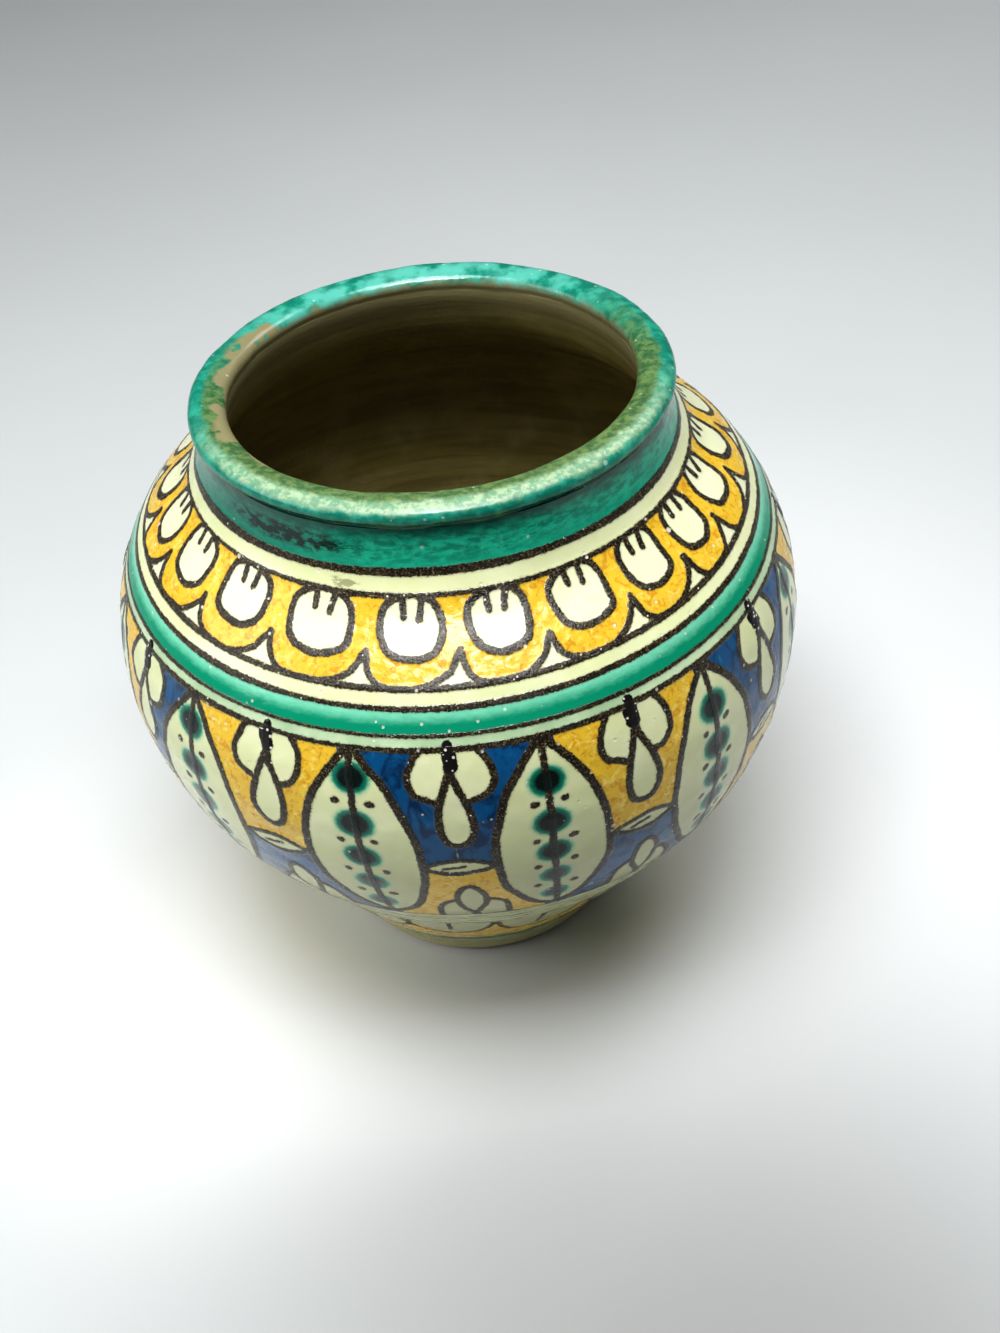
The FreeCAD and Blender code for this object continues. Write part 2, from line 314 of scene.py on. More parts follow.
def distance(u, v, path):
    """The distance from every point (v rows, u columns) to an open path."""
    best = np.full((len(v), len(u)), FAR * FAR)
    for (au, av), (bu, bv) in zip(path[:-1], path[1:]):
        du, dv = bu - au, bv - av
        length = max(du * du + dv * dv, 1e-9)
        t = np.clip(((u[None, :] - au) * du + (v[:, None] - av) * dv) / length, 0, 1)
        best = np.minimum(best, (u[None, :] - au - t * du) ** 2 + (v[:, None] - av - t * dv) ** 2)
    return np.sqrt(best)


def region(u, v, path):
    """The signed distance to a closed path: negative inside it."""
    ring = np.vstack([path, path[:1]])
    inside = np.zeros((len(v), len(u)), bool)
    for (au, av), (bu, bv) in zip(ring[:-1], ring[1:]):
        if av != bv:
            crosses = (av > v) != (bv > v)
            edge = au + (v - av) / (bv - av) * (bu - au)
            inside ^= crosses[:, None] & (u[None, :] < edge[:, None])
    return np.where(inside, -1, 1) * distance(u, v, ring)


def off_centre(azimuth, centre):
    """How many degrees an azimuth lies to the right of a centre, going the short way round."""
    return (azimuth - centre + 180) % 360 - 180


class Chart:
    """A coat's outer face laid flat. Motifs are given as (degrees from their centre, height)."""

    def __init__(self, path):
        self.heights = path[:, 1]
        self.rise = along(self.heights)
        self.azimuth = column_azimuths(ALL_COLUMNS)
        self.scale = math.radians(path[:, 0].mean())
        self.layers = {name: np.full((len(path), COLUMNS), FAR) for name in BRUSH_LAYERS}
        self.layers["smudge"] = np.zeros((len(path), COLUMNS))

    def flat(self, points):
        """Points in flat coordinates: millimetres across and millimetres up the surface."""
        points = np.asarray(points, float)
        return np.column_stack([points[:, 0] * self.scale, along(points[:, 1])])

    def window(self, centre, reach):
        """The columns within reach of an azimuth, and how far round from it each one lies."""
        off = off_centre(self.azimuth, centre)
        columns = np.nonzero(np.abs(off) < reach)[0]
        return columns, off[columns] * self.scale

    def lay(self, layer, columns, field):
        """Adds a distance field to a layer."""
        held = self.layers[layer]
        held[:, columns] = np.minimum(held[:, columns], field)

    def stroke(self, centre, points, width, closed=False, layer="ink"):
        """A brush stroke through points, drawn with a slightly unsteady hand."""
        path = smooth_curve(self.flat(loose(points)), closed)
        if closed:
            path = np.vstack([path, path[:1]])
        reach = np.abs(path[:, 0]).max() / self.scale + 4
        columns, u = self.window(centre, reach)
        self.lay(layer, columns, distance(u, self.rise, path) - width / 2)

    def shape(self, points):
        """A closed path in flat coordinates."""
        return smooth_curve(self.flat(points), True)

    def outline(self, centre, reach, path, half_width):
        """An inked line round a closed path that is in flat coordinates."""
        columns, u = self.window(centre, reach)
        ring = np.vstack([path, path[:1]])
        self.lay("ink", columns, distance(u, self.rise, ring) - half_width)

    def ring(self, height, width, wander, seed):
        """A line drawn right round while the vase turns on the wheel."""
        drift = self.circle_grain(0.7, 40 + seed) * wander
        weight = 1 + 0.3 * self.circle_grain(0.4, 60 + seed)
        line = np.abs(self.rise[:, None] - along(height) - drift) - width / 2 * weight
        self.lay("ink", ALL_COLUMNS, line)

    def circle_grain(self, size, seed):
        """Noise that changes only with the azimuth, and that closes on itself."""
        azimuth = np.radians(self.azimuth)
        circle = np.stack([np.sin(azimuth), np.cos(azimuth), np.zeros(COLUMNS)], axis=-1)
        return grain(circle, size, seed)


def loose(points, amount=0.12):
    """The points moved about slightly, as no two brush strokes are the same."""
    points = np.asarray(points, float)
    return points + hand.normal(0, amount, points.shape)


def mirrored(half):
    """A closed outline from its right-hand half, given from the top to the bottom."""
    half = list(half)
    return half + [(-across, up) for across, up in reversed(half) if across > 0]


# ---------- lines round the vase

# Height, width and wander of every line that runs right round, in millimetres.
RING_LINES = (
    (172.9, 2.1, 0.25), (167.9, 1.3, 0.5), (151.9, 1.7, 0.2), (147.9, 1.7, 0.3), (141.8, 1.1, 0.2),
    (138.5, 1.6, 0.15), (66.8, 0.9, 0.3), (62.4, 0.7, 0.3), (57.6, 0.7, 0.3), (52.6, 0.7, 0.3),
    (48.4, 1.0, 0.3),
)


def ring_lines(chart):
    """All of them; a coat shows the ones that lie on it or reach onto it."""
    for number, (height, width, wander) in enumerate(RING_LINES):
        chart.ring(height, width, wander, number)


# ---------- the belly's medallions and tulips

MEDALLIONS = 12
# The one gap whose upper field is ochre on its left and blue on its right.
MIXED_GAP = 9
MEDALLION_TURN = 9.7
MEDALLION_TOP = 138.9
MEDALLION_HALF = (
    (0.0, MEDALLION_TOP), (1.5, 136.2), (2.9, 133.3), (4.5, 129.8), (6.2, 125.0), (7.7, 118.2), (8.7, 109.8),
    (9.1, 101.0), (8.8, 93.8), (8.0, 87.6), (6.5, 80.8), (4.6, 75.4), (2.4, 71.8), (0.0, 70.2),
)
MEDALLION_LINE = 2.2
BLOB_TOPS = (125.8, 130.2)
BLOB_FOOT = 77.0
BLOB_GAPS = np.array([0.0, 13.8, 26.2, 38.2, 50.0])
BLOB_SIZES = np.array([3.0, 3.1, 2.9, 2.6, 2.3])
TULIP_CENTRE = 0.5
TULIP_HEAD_HALF = (
    (3.9, 139.5), (5.6, 135.2), (6.3, 130.8), (5.7, 127.0), (4.1, 124.9), (2.3, 124.0),
)
DROP_HALF = ((0.0, 132.0), (0.9, 128.5), (2.2, 122.0), (2.8, 115.5), (1.9, 110.6), (0.0, 109.0))
LENS_HALF = ((0.0, 102.9), (2.3, 102.5), (4.4, 101.2), (5.4, 100.3), (4.2, 98.4), (2.0, 97.1), (0.0, 96.7))
LENS_MIDDLE = 100.0
LOW_PETAL_HALF = ((0.0, 89.8), (1.6, 87.4), (2.4, 82.8), (2.1, 78.0), (1.2, 74.0), (0.0, 71.0))
PETAL_FOOT = 67.2
SIDE_PETAL = ((2.3, 81.6), (4.9, 78.6), (5.9, 74.0), (6.0, 67.5))


def medallion_centres():
    """The azimuth of each medallion, about evenly spaced."""
    even = MEDALLION_TURN + 360.0 / MEDALLIONS * np.arange(MEDALLIONS)
    return even + hand.normal(0, 0.35, MEDALLIONS)


def medallion_outline():
    """One medallion's outline, a little different every time."""
    sway = hand.normal(0, 0.25)
    outline = [(across + sway * (MEDALLION_TOP - up) / 40, up) for across, up in mirrored(MEDALLION_HALF)]
    return loose(outline, 0.14)


def blob_heights(number):
    """The heights of the blobs down a stem, which start higher on every other pair of medallions."""
    top = BLOB_TOPS[number // 2 % 2] + hand.normal(0, 0.4)
    return top - BLOB_GAPS * (top - BLOB_FOOT) / 51.0


def medallion(chart, number, centre, outline):
    """The outline, its stem, the haloed blobs down it and the pairs of dots beside them."""
    chart.outline(centre, 16, chart.shape(outline), MEDALLION_LINE / 2)
    sway = hand.uniform(-0.2, 0.5)
    chart.stroke(centre, [(0, 138.5), (0.1, 122), (sway, 100), (sway + 0.2, 84), (sway + 0.3, 71.5)], 1.9)
    heights = blob_heights(number)
    sizes = BLOB_SIZES * hand.uniform(0.92, 1.08)
    for height, size in zip(heights, sizes):
        blob(chart, centre, sway * (138 - height) / 50, height, size)
    for upper, lower in zip(heights[:-1], heights[1:]):
        reach = hand.uniform(2.4, 3.1)
        middle = (upper + lower) / 2
        for side in (-1, 1):
            up = middle + hand.normal(0, 0.5)
            chart.stroke(centre, [(side * reach - 0.1, up), (side * reach + 0.1, up)], 2.0)


def blob(chart, centre, across, height, size):
    """A dab, a little wider than tall, whose middle is black and whose rim bleeds out in green."""
    columns, u = chart.window(centre, 12)
    beside = u[None, :] - across * chart.scale
    chart.lay("green", columns, np.hypot(beside * 0.94, chart.rise[:, None] - along(height)) - size)


# Where each tulip's bud stands and how wide it is. The bud's tip reaches onto the coat above.
buds = []


def tulip(chart, centre):
    """The tulip that hangs in the upper field: bud, drop and two side petals. Returns its cream shapes."""
    shift = TULIP_CENTRE + hand.normal(0, 0.25)
    wide = hand.uniform(0.92, 1.04)

    def placed(points, side=1):
        return [(shift + side * across * wide, up) for across, up in points]

    drop = loose(placed(mirrored(DROP_HALF)), 0.15)
    right = loose(placed(TULIP_HEAD_HALF))
    left = loose(placed(TULIP_HEAD_HALF, -1))
    drop_path = chart.shape(drop)
    chart.outline(centre, 16, drop_path, 1.0)
    chart.stroke(centre, right, 1.9)
    chart.stroke(centre, left, 1.9)
    buds.append((centre + shift, hand.uniform(3.8, 4.8)))
    bud(chart, *buds[-1])
    chart.stroke(centre, placed([(0.1, 137.0), (0.0, 134.0), (0.1, 131.0)]), 2.6)
    head = np.vstack([chart.flat(left), chart.flat(placed([(0, 126)])), chart.flat(right[::-1])])
    return [drop_path, head]


def bud(chart, centre, width):
    """The blistered black bud at the head of a tulip."""
    chart.stroke(centre, [(0.1, 139.0), (-0.1, 136.8), (0.1, 134.2)], width, layer="bud")


def bud_tips(chart):
    """The tips of the buds, which run up over the mint stripe."""
    for centre, width in buds:
        chart.stroke(centre, [(0.0, 139.6), (0.0, 138.0)], width * 0.7, layer="bud")


def lens(chart, centre):
    """The small eye that parts the upper field from the lower one."""
    points = loose(mirrored(LENS_HALF), 0.1)
    chart.stroke(centre, points, 1.7, closed=True)
    chart.stroke(centre, [(-2.2, 99.2), (-0.6, 99.8), (0.9, 100.2)], 1.1)
    return [chart.shape(points)]


def low_petals(chart, centre):
    """The three petals that stand on the lowest line of the belly."""
    shift = 0.9 + hand.normal(0, 0.3)
    middle = [(shift + across, up) for across, up in mirrored(LOW_PETAL_HALF)]
    chart.stroke(centre, middle, 1.8, closed=True)
    chart.stroke(centre, [(shift, 71.5), (shift + 0.1, 69.5), (shift, PETAL_FOOT)], 2.6)
    shapes = [chart.shape(middle)]
    for side in (-1, 1):
        outer = [(shift + side * across, up) for across, up in SIDE_PETAL]
        chart.stroke(centre, outer, 1.8)
        foot = [(shift + side * 0.6, 66.5), (shift + side * 0.9, 72.5), (shift + side * 2.0, 77.0)]
        shapes.append(chart.flat(outer + foot))
    return shapes


def gap_fields(chart, centre, outlines, shapes, colours):
    """Fills a gap between two medallions with its colours, leaving its cream shapes bare."""
    columns, u = chart.window(centre, 17)
    cream = np.full((len(chart.rise), len(columns)), FAR)
    for other, outline in outlines:
        path = chart.shape(outline) + [off_centre(other, centre) * chart.scale, 0]
        cream = np.minimum(cream, region(u, chart.rise, path))
    for path in shapes:
        cream = np.minimum(cream, region(u, chart.rise, path))
    above = chart.rise[:, None] - along(LENS_MIDDLE)
    below = along(PETAL_FOOT) - chart.rise[:, None]
    left, right, low = colours
    upper_field = np.maximum(-cream, -above)
    lower_field = np.maximum(-cream, above)
    chart.lay(left, columns, np.maximum(upper_field, u))
    chart.lay(right, columns, np.maximum(upper_field, -u))
    chart.lay(low, columns, np.maximum(lower_field, below))


def belly_paint(chart):
    """The tall band of medallions with tulips between them."""
    centres = medallion_centres()
    outlines = [medallion_outline() for _ in centres]
    for number, (centre, outline) in enumerate(zip(centres, outlines)):
        medallion(chart, number, centre, outline)
    for number in range(MEDALLIONS):
        after = (number + 1) % MEDALLIONS
        apart = (centres[after] - centres[number]) % 360
        gap = centres[number] + apart / 2
        upper, lower = ("ochre", "blue") if number % 2 == 0 else ("blue", "ochre")
        left = "ochre" if number == MIXED_GAP else upper
        shapes = tulip(chart, gap) + lens(chart, gap) + low_petals(chart, gap)
        neighbours = [(centres[number], outlines[number]), (centres[after], outlines[after])]
        gap_fields(chart, gap, neighbours, shapes, (left, upper, lower))


# ---------- the shoulder's scallops

# These are the scallops' cusps over the front, and the rest share what is left.
SCALLOPS = 22
SCALLOP_TOP = 170.0
FRONT_CUSPS = (-87.0, -72.0, -55.5, -37.5, -18.0, -0.5, 16.0, 33.5, 48.8, 62.7, 78.0)
OVAL = (
    (0.0, 168.2), (0.62, 167.4), (0.95, 165.0), (1.0, 161.8), (0.86, 159.0), (0.42, 157.4), (-0.14, 157.2),
    (-0.72, 158.4), (-1.0, 161.4), (-0.97, 165.0), (-0.64, 167.4),
)
SWAG = (
    (0.0, 158.4), (0.055, 154.9), (0.15, 152.6), (0.3, 151.9), (0.55, 152.0), (0.71, 152.8),
    (0.87, 154.7), (0.96, 156.9), (1.0, 158.2),
)


def cusp_azimuths():
    """Where the scallops meet, right round."""
    start, end = FRONT_CUSPS[-1], FRONT_CUSPS[0] + 360
    rest = np.linspace(start, end, SCALLOPS - len(FRONT_CUSPS) + 2)
    rest[1:-1] += hand.normal(0, 0.6, len(rest) - 2)
    return np.append(FRONT_CUSPS, rest[1:])


def scallop(chart, start, width):
    """One scallop from its left cusp: the swag under it, the oval in it and the oval's two dashes."""
    swag = [(across * width, up) for across, up in SWAG]
    chart.stroke(start, swag, 1.7)
    middle = start + width * 0.49
    half = width * 0.34
    oval = loose([(across * half, up) for across, up in OVAL], 0.15)
    oval_path = chart.shape(oval)
    chart.outline(middle, 14, oval_path, hand.uniform(0.9, 1.15))
    slant = hand.uniform(0.0, 0.9)
    chart.stroke(middle, [(-1.7, 168.0), (-1.5, 164.3)], 1.9)
    chart.stroke(middle, [(1.7 + slant, 168.0), (1.5, 164.1)], 1.9)
    above = [(width + 0.4, SCALLOP_TOP), (-0.4, SCALLOP_TOP)]
    petal = chart.flat(swag + above)
    columns, u = chart.window(start + width / 2, width)
    petal_field = region(u + width / 2 * chart.scale, chart.rise, petal)
    oval_field = region(u + (start + width / 2 - middle) * chart.scale, chart.rise, oval_path)
    chart.lay("ochre", columns, np.maximum(petal_field, -oval_field))


def scallop_paint(chart):
    """The scallops, right round."""
    cusps = cusp_azimuths()
    for start, end in zip(cusps[:-1], cusps[1:]):
        scallop(chart, start, end - start)


# ---------- the low petals and the foot line

FOOT_LINE_HEIGHT = 15.5
LOW_SWAGS = 16
LOW_SWAG = (
    (0.0, 47.6), (0.04, 42.0), (0.12, 36.0), (0.28, 31.5), (0.5, 30.0), (0.72, 31.5), (0.88, 36.0),
    (0.96, 42.0), (1.0, 47.6),
)


def petal_paint(chart):
    """Wide cream petals with dark outlines that hang over an ochre ground."""
    width = 360.0 / LOW_SWAGS
    for number in range(LOW_SWAGS):
        start = width * number + hand.normal(0, 0.8)
        swag = [(across * width, up) for across, up in LOW_SWAG]
        chart.stroke(start, swag, 1.5)
        chart.stroke(start + width / 2, [(0, 47.0), (0.3, 41.0), (0.0, 35.5)], 1.2)
    chart.lay("ochre", ALL_COLUMNS, low_ground(chart, width))


def low_ground(chart, width):
    """The ochre ground under the hanging petals."""
    part = (chart.azimuth % width) / width
    return chart.rise[:, None] - along(np.interp(part, *zip(*LOW_SWAG)))


def foot_paint(chart):
    """A thin green line above the plain foot."""
    height = FOOT_LINE_HEIGHT + 0.8 * chart.circle_grain(0.5, 77)
    chart.lay("green", ALL_COLUMNS, np.abs(chart.rise[:, None] - along(height)) - 1.6)


def soft_mark(chart, azimuth, height, wide, tall):
    """A faded dirty patch."""
    across = off_centre(chart.azimuth, azimuth) / wide
    up = (chart.heights - height) / tall
    mark = np.exp(-across[None, :] ** 2 - up[:, None] ** 2)
    chart.layers["smudge"] = np.maximum(chart.layers["smudge"], mark)


def no_paint(chart):
    """A coat with nothing on it but the lines that run right round."""


def neck_marks(chart):
    """The scorched patch on the left of the collar and another one at the back."""
    soft_mark(chart, -40, 178.4, 17, 2.6)
    soft_mark(chart, 150, 177.0, 14, 2.0)


def stripe_marks(chart):
    """A dirty spot on the cream stripe under the collar."""
    soft_mark(chart, -24, 169.8, 3.2, 1.4)


# ---------- relief

# How the hand left its surfaces uneven: the noise's squeeze along each axis, its size, seed and depth.
# On the outside these are throwing rings, slow waves, dents and fine unevenness.
THROWN_WAVES = (
    ((0.15, 0.15, 1.0), 4.2, 3, 0.14), ((1, 1, 1.6), 38.0, 4, 0.35), ((1, 1, 1.4), 8.0, 11, 0.10),
    ((1, 1, 1), 2.6, 5, 0.04),
)
LIP_WAVES = (((1, 1, 1), 11.0, 21, 0.22), ((1, 1, 1), 3.2, 22, 0.05), ((1, 1, 1), 1.4, 23, 0.03))
INK_RAISE = 0.10
BUD_RAISE = 0.25
OCHRE_BOIL = 0.13
PIT_DEPTH = 0.22


def waves(points, table):
    """The height in millimetres that a table of waves adds at each point."""
    return sum(grain(points * squeeze, size, seed) * depth for squeeze, size, seed, depth in table)


def paint_relief(points, layers):
    """Raised gritty ink, and ochre that has boiled into bumps and burst into pits."""
    ink = smoothstep(0.35, -0.25, layers["ink"]) * INK_RAISE * (1 + 0.5 * grain(points, 0.9, 6))
    ochre = smoothstep(0.2, -0.6, layers["ochre"])
    bubbly = ochre * OCHRE_BOIL * np.clip(grain(points, 1.6, 7) + 0.7 * grain(points, 0.9, 8), -0.3, 1)
    pits = -PIT_DEPTH * smoothstep(0.78, 0.95, grain(points, 1.3, 9)) * ochre
    blister = smoothstep(0.3, -0.6, layers["bud"]) * BUD_RAISE * (1 + 0.5 * grain(points, 1.2, 10))
    return ink + bubbly + pits + blister


# ---------- meshes

def grid_faces(rows, columns, wrap_columns, wrap_rows):
    """Quads over a grid of vertices numbered row by row."""
    index = np.arange(rows * columns).reshape(rows, columns)
    if wrap_columns:
        index = np.hstack([index, index[:, :1]])
    if wrap_rows:
        index = np.vstack([index, index[:1]])
    corners = [index[:-1, :-1], index[:-1, 1:], index[1:, 1:], index[1:, :-1]]
    return np.stack([corner.ravel() for corner in corners], axis=-1)


def new_piece(name, points, faces, caps=()):
    """A mesh object from points in millimetres, pushed out of true with the rest of the pot."""
    mesh = bpy.data.meshes.new(name)
    places = out_of_true(points) * MM
    mesh.from_pydata(places.tolist(), [], faces.tolist() + [list(cap) for cap in caps])
    mesh.update()
    piece = bpy.data.objects.new(name, mesh)
    bpy.context.scene.collection.objects.link(piece)
    return piece


def finish_surface(piece, weld=False):
    """Outward normals, smooth shading and sharp edges where faces turn hard."""
    work = bmesh.new()
    work.from_mesh(piece.data)
    if weld:
        bmesh.ops.remove_doubles(work, verts=work.verts, dist=TINY)
    bmesh.ops.recalc_face_normals(work, faces=work.faces)
    work.to_mesh(piece.data)
    work.free()
    piece.data.shade_smooth()
    piece.data.set_sharp_from_angle(angle=math.radians(SHARP_TURN))


def set_layer(piece, name, values):
    """Holds one number on every vertex, for the material to read."""
    attribute = piece.data.attributes.new(name, "FLOAT", "POINT")
    attribute.data.foreach_set("value", np.asarray(values, np.float32).ravel())


def coat(name, inner, layers, displaced, columns, closed=True):
    """
    The closed skin of a coat over some of the columns: its displaced outer face, and its plain face
    against the clay. Its paint layers are held on its vertices.
    """
    grid = np.concatenate([displaced[:, columns], spin(inner[::-1], columns)], axis=0)
    rows, count = grid.shape[:2]
    faces = grid_faces(rows, count, closed, True)
    first_edge = np.arange(rows) * count
    caps = () if closed else (first_edge, first_edge[::-1] + count - 1)
    piece = new_piece(name, grid.reshape(-1, 3), faces, caps)
    for layer, field in layers.items():
        back = np.full((len(inner), count), FAR if layer in BRUSH_LAYERS else 0.0)
        set_layer(piece, layer, np.concatenate([field[:, columns], back], axis=0))
    finish_surface(piece)
    return piece


def painted_coat(node, slot, material, paint, spacing, sectors=1):
    """Builds a coat over the height of its CAD node, paints it, and fixes it to the body in its node's
    place.
    """
    low, high = span(node)
    outer = between(OUTSIDE, low, high, spacing * QUICK_STEP)
    inner = between(outside_path(GLAZE), low, high, BACK_SPACING)
    chart = Chart(outer)
    ring_lines(chart)
    paint(chart)
    points = spin(outer, ALL_COLUMNS)
    lift = waves(points, THROWN_WAVES) + paint_relief(points, chart.layers)
    displaced = points + normals(outer, ALL_COLUMNS) * lift[..., None]
    layers = {**chart.layers, "across": by_row(np.linspace(1, 0, len(outer)))}
    for number in range(sectors):
        name = node if sectors == 1 else f"{node}_{number + 1}"
        first = number * COLUMNS // sectors
        count = COLUMNS // sectors + (0 if sectors == 1 else 1)
        columns = (first + np.arange(count)) % COLUMNS
        piece = coat(name + "_look", inner, layers, displaced, columns, sectors == 1)
        place_piece(piece, slot, material, node)


def by_row(values):
    """A layer that has one value for each row of points."""
    return np.repeat(values[:, None], COLUMNS, axis=1)


def place_piece(piece, slot, material, *nodes):
    """Gives a piece its material, fixes it to the body and lets it stand for its CAD nodes. The slot is not
    used.
    """
    piece.data.materials.append(material)
    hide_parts(*nodes)
    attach(piece, "root")


# ---------- material helpers

class Graph:
    """Short cuts for building a material's node tree. Sizes are in millimetres, values are linear."""

    def __init__(self, name):
        self.material = bpy.data.materials.new(name)
        self.material.use_nodes = True
        self.tree = self.material.node_tree
        self.tree.nodes.clear()
        self.place = self.add("ShaderNodeTexCoord").outputs["Object"]

    def add(self, kind, **settings):
        """A new node of a kind."""
        node = self.tree.nodes.new(kind)
        for key, value in settings.items():
            setattr(node, key, value)
        return node

    def feed(self, socket, value):
        """Links a socket to another one, or sets its value."""
        if isinstance(value, bpy.types.NodeSocket):
            self.tree.links.new(value, socket)
        else:
            socket.default_value = value

    def math(self, operation, a, b=0.0, c=0.0, clamp=False):
        """The result of one sum."""
        node = self.add("ShaderNodeMath", operation=operation, use_clamp=clamp)
        for socket, value in zip(node.inputs, (a, b, c)):
            self.feed(socket, value)
        return node.outputs[0]

    def times(self, a, b):
        """a times b."""
        return self.math("MULTIPLY", a, b)

    def times_plus(self, value, factor, added):
        """value times factor, plus added."""
        return self.math("MULTIPLY_ADD", value, factor, added)

    def layer(self, name):
        """The value of a paint layer at this place."""
        return self.add("ShaderNodeAttribute", attribute_name=name).outputs["Fac"]

    def stretched(self, size, stretch):
        """The place, scaled so that one unit is a feature of the given size."""
        node = self.add("ShaderNodeVectorMath", operation="MULTIPLY")
        self.feed(node.inputs[0], self.place)
        node.inputs[1].default_value = [1000.0 / size * s for s in stretch]
        return node.outputs[0]

    def noise(self, size, detail=3.0, rough=0.5, stretch=(1, 1, 1), warp=0.0):
        """Smooth noise about 0.5, with features of the given size."""
        node = self.add("ShaderNodeTexNoise")
        self.feed(node.inputs["Vector"], self.stretched(size, stretch))
        node.inputs["Scale"].default_value = 1.0
        node.inputs["Detail"].default_value = detail
        node.inputs["Roughness"].default_value = rough
        node.inputs["Distortion"].default_value = warp
        return node.outputs["Fac"]

    def away(self, centre):
        """The distance in metres from a point."""
        node = self.add("ShaderNodeVectorMath", operation="DISTANCE")
        self.feed(node.inputs[0], self.place)
        node.inputs[1].default_value = centre
        return node.outputs["Value"]

    def height(self):
        """The height above the table in millimetres."""
        node = self.add("ShaderNodeSeparateXYZ")
        self.feed(node.inputs[0], self.place)
        return self.times(node.outputs["Z"], 1000.0)

    def cells(self, size):
        """The distance to the nearest of many scattered points."""
        node = self.add("ShaderNodeTexVoronoi")
        self.feed(node.inputs["Vector"], self.stretched(size, (1, 1, 1)))
        node.inputs["Scale"].default_value = 1.0
        return node.outputs["Distance"]

    def step(self, value, low, high, first=0.0, last=1.0):
        """A smooth change from first to last as value goes from low to high."""
        node = self.add("ShaderNodeMapRange", interpolation_type="SMOOTHSTEP")
        for socket, number in zip(node.inputs, (value, low, high, first, last)):
            self.feed(socket, number)
        return node.outputs[0]

    def mix(self, factor, first, second):
        """Two colours mixed: the first at factor 0, the second at factor 1."""
        node = self.add("ShaderNodeMix", data_type="RGBA")
        self.feed(node.inputs["Factor"], factor)
        for socket, colour in ((node.inputs[6], first), (node.inputs[7], second)):
            self.feed(socket, colour if isinstance(colour, bpy.types.NodeSocket) else (*colour, 1))
        return node.outputs[2]

    def blend(self, value, low, high, first, second, most=1.0):
        """A smooth change from the first colour to the second as value goes from low to high."""
        return self.mix(self.step(value, low, high, 0.0, most), first, second)

    def grit(self):
        """Fine unevenness that makes a brushed edge ragged, in millimetres."""
        coarse = self.times_plus(self.noise(1.3, 2), 0.9, -0.45)
        fine = self.times_plus(self.noise(0.45, 1), 0.5, -0.25)
        return self.math("ADD", coarse, fine)

    def edge(self, name, soft, ragged=1.0, grow=0.0):
        """1 inside a painted layer and 0 outside it, with a ragged edge."""
        shifted = self.times_plus(self.grit(), ragged, self.layer(name))
        return self.step(self.math("SUBTRACT", shifted, grow), soft, -soft)

    def finish(self, colour, roughness, height, depth):
        """Connects a glossy surface. depth is the bump's reach in millimetres."""
        bump = self.add("ShaderNodeBump")
        bump.inputs["Strength"].default_value = 1.0
        bump.inputs["Distance"].default_value = depth * MM
        self.feed(bump.inputs["Height"], height)
        shader = self.add("ShaderNodeBsdfPrincipled")
        self.feed(shader.inputs["Base Color"], colour)
        self.feed(shader.inputs["Roughness"], roughness)
        self.feed(shader.inputs["Normal"], bump.outputs[0])
        shader.inputs["IOR"].default_value = 1.45
        output = self.add("ShaderNodeOutputMaterial")
        self.tree.links.new(shader.outputs[0], output.inputs[0])
        return self.material


# ---------- glaze colours

CREAM = (0.68, 0.72, 0.405)
CREAM_PALE = (0.74, 0.77, 0.49)
CREAM_UNDER_OCHRE = (0.76, 0.77, 0.55)
CREAM_SHADED = (0.47, 0.475, 0.255)
# Painted shade towards the foot.
CREAM_FOOT_SHADE = (0.36, 0.31, 0.14)
CREAM_SMUDGE = (0.12, 0.11, 0.045)
CREAM_SPECK = (0.42, 0.38, 0.22)
MINT = (0.40, 0.56, 0.34)
MINT_PALE = (0.56, 0.70, 0.46)
EMERALD = (0.015, 0.43, 0.265)
EMERALD_LIGHT = (0.10, 0.52, 0.33)
EMERALD_PALE = (0.24, 0.66, 0.46)
EMERALD_DEEP = (0.002, 0.27, 0.15)
EMERALD_DARK = (0.002, 0.09, 0.035)
TEAL = (0.007, 0.20, 0.135)
TEAL_LIGHT = (0.05, 0.46, 0.31)
# Painted light and shade on the collar: shade on its left, light towards its foot, and shade under the lip,
# also used for the scorched patches and the underside of the roll.
TEAL_PAINTED_SHADE = (0.003, 0.13, 0.09)
TEAL_PAINTED_LIGHT = (0.008, 0.32, 0.20)
SHADE_AND_SCORCH_TEAL = (0.002, 0.065, 0.05)
SCORCHED = (0.006, 0.012, 0.009)
LIP_DEEP = (0.003, 0.17, 0.115)
LIP_GREEN = (0.03, 0.32, 0.225)
# Painted highlight at the back of the lip.
LIP_PAINTED_HIGHLIGHT = (0.11, 0.44, 0.36)
WORN_GREEN = (0.14, 0.29, 0.17)
WORN_PALE = (0.33, 0.45, 0.28)
OLIVE = (0.12, 0.19, 0.055)
OLIVE_DARK = (0.025, 0.08, 0.018)
INNER_EDGE = (0.225, 0.205, 0.105)
LINER = (0.225, 0.185, 0.052)
LINER_DARK = (0.15, 0.12, 0.034)
LINER_DUST = (0.33, 0.28, 0.12)
COBALT = (0.002, 0.082, 0.215)
COBALT_DARK = (0.002, 0.028, 0.085)
COBALT_LIGHT = (0.02, 0.16, 0.29)
OCHRE = (0.75, 0.49, 0.04)
OCHRE_DEEP = (0.60, 0.27, 0.014)
OCHRE_PALE = (0.82, 0.64, 0.15)
DAB_HALO = (0.18, 0.55, 0.36)
DAB_GREEN = (0.003, 0.19, 0.12)
DAB_BLACK = (0.004, 0.011, 0.009)
INK = (0.014, 0.010, 0.006)
INK_BROWN = (0.075, 0.055, 0.024)
INK_SPECK = (0.36, 0.29, 0.16)
INK_BUBBLE = (0.72, 0.68, 0.56)
BUD_BLACK = (0.010, 0.008, 0.007)
BUD_BUBBLE = (0.70, 0.68, 0.60)
